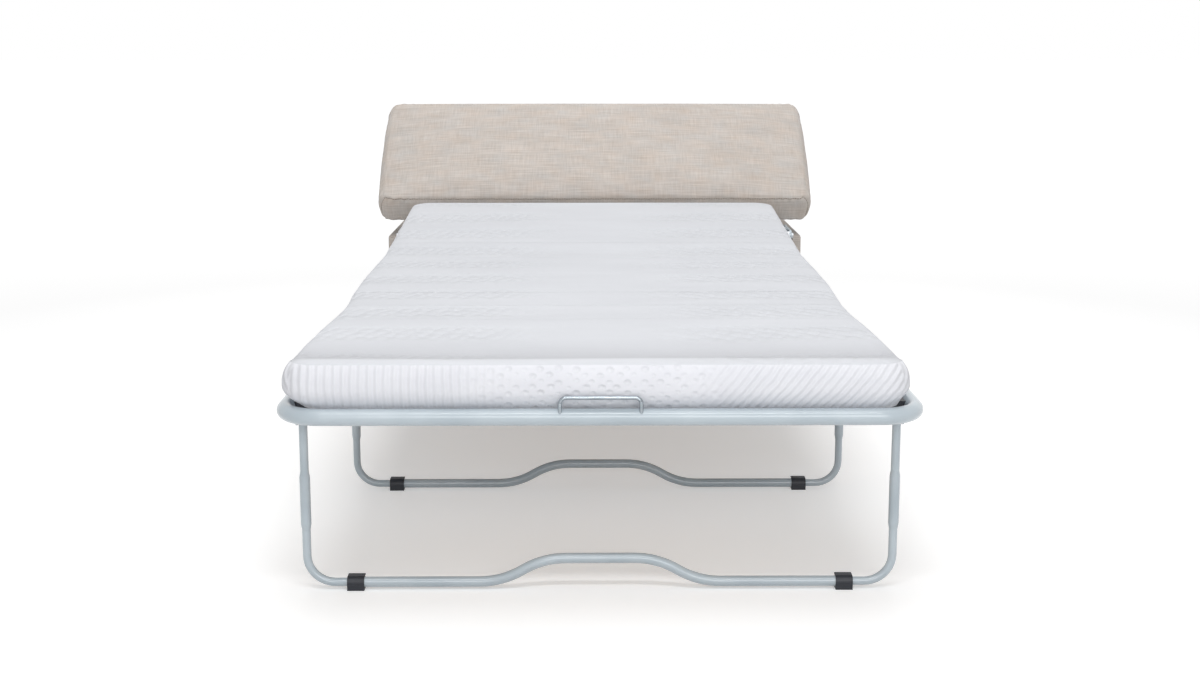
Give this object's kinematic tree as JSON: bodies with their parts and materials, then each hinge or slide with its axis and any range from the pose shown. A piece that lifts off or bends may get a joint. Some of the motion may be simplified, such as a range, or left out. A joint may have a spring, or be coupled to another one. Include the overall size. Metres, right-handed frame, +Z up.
{
  "type": "fold out ottoman guest bed",
  "caption": "Upholstered ottoman box with a folding tubular steel bed that opens in front of it on hoop legs, its mattress on sprung slats and half of the padded lid raised as a headrest.",
  "frame": {"origin": "on the floor, below the middle of the bounding box of the open bed", "axes": "+Z up, +X to the right seen from the foot end, +Y from the foot end towards the ottoman box"},
  "size_m": [1.115, 2.7244, 0.6485],
  "materials": {
    "frame_paint": "satin powder coat",
    "zinc_steel": "zinc plated",
    "bright_wire": "bright",
    "black_plastic": "moulded matt",
    "beech": "clear lacquer",
    "ticking": "knitted ticking",
    "linen": "slub linen weave",
    "plywood": "bare",
    "panel_board": "fabric covered",
    "black_lining": "non-woven"
  },
  "bodies": {
    "root": {"box_front_panel": "panel_board", "box_back_panel": "panel_board", "box_side_panel_left": "panel_board", "box_side_panel_right": "panel_board", "box_base_board": "plywood", "box_liner": "black_lining", "box_feet": "black_plastic", "head_arms": "frame_paint", "arm_spacers": "zinc_steel", "arm_bolts": "zinc_steel", "wall_plates": "plywood", "wall_bolts": "zinc_steel", "headrest_pivot_pins": "zinc_steel", "rear_lid_cushion": "linen", "rear_lid_board": "plywood", "head_frame": "frame_paint", "head_hinge_plates": "frame_paint", "head_hinge_pins": "zinc_steel", "head_slats": "beech", "head_slat_caps": "black_plastic", "mattress_head": "ticking", "mattress_head_fold": "ticking"},
    "middle": {"middle_frame": "frame_paint", "middle_slats": "beech", "middle_slat_caps": "black_plastic", "mattress_middle": "ticking", "rear_leg_brackets": "frame_paint", "rear_leg_pivot_pins": "zinc_steel"},
    "link": {"link_plates": "frame_paint", "link_pins": "zinc_steel", "mattress_foot_fold": "ticking"},
    "foot": {"foot_frame": "frame_paint", "foot_slats": "beech", "foot_slat_caps": "black_plastic", "mattress_bail": "bright_wire", "mattress_foot": "ticking", "front_leg_brackets": "frame_paint", "front_leg_pivot_pins": "zinc_steel"},
    "front_legs": {"front_leg_upper_tubes": "frame_paint", "front_leg_sleeves": "frame_paint", "front_leg_corner_tubes": "frame_paint", "front_leg_wave_bar": "frame_paint", "front_leg_foot_clips": "black_plastic"},
    "rear_legs": {"rear_leg_upper_tubes": "frame_paint", "rear_leg_sleeves": "frame_paint", "rear_leg_corner_tubes": "frame_paint", "rear_leg_wave_bar": "frame_paint", "rear_leg_foot_clips": "black_plastic"},
    "headrest": {"headrest_cushion": "linen", "headrest_board": "plywood", "headrest_brackets": "frame_paint"}
  },
  "joints": [
    {"name": "middle_fold", "type": "hinge", "parent": "root", "child": "middle", "pos_m": [0, -0.09975, 0.292], "axis": [-1, 0, 0], "range_deg": [0, 90], "deforming": ["mattress_head_fold"]},
    {"name": "link_fold", "type": "hinge", "parent": "middle", "child": "link", "pos_m": [0, -0.71975, 0.292], "axis": [-1, 0, 0], "range_deg": [0, 90], "deforming": ["mattress_foot_fold"]},
    {"name": "foot_fold", "type": "hinge", "parent": "link", "child": "foot", "pos_m": [0, -0.88975, 0.292], "axis": [-1, 0, 0], "range_deg": [0, 90]},
    {"name": "front_leg_fold", "type": "hinge", "parent": "foot", "child": "front_legs", "pos_m": [0, -1.25175, 0.267], "axis": [1, 0, 0], "range_deg": [0, 90]},
    {"name": "rear_leg_fold", "type": "hinge", "parent": "middle", "child": "rear_legs", "pos_m": [0, -0.69275, 0.267], "axis": [1, 0, 0], "range_deg": [0, 90]},
    {"name": "headrest_tilt", "type": "hinge", "parent": "root", "child": "headrest", "pos_m": [0, 0.5588, 0.334], "axis": [1, 0, 0], "range_deg": [-37.5, 0]}
  ],
  "couplings": [
    {"joint": "foot_fold", "follows": "link_fold", "ratio": 1},
    {"joint": "front_leg_fold", "follows": "link_fold", "ratio": 1},
    {"joint": "rear_leg_fold", "follows": "middle_fold", "ratio": 1}
  ]
}
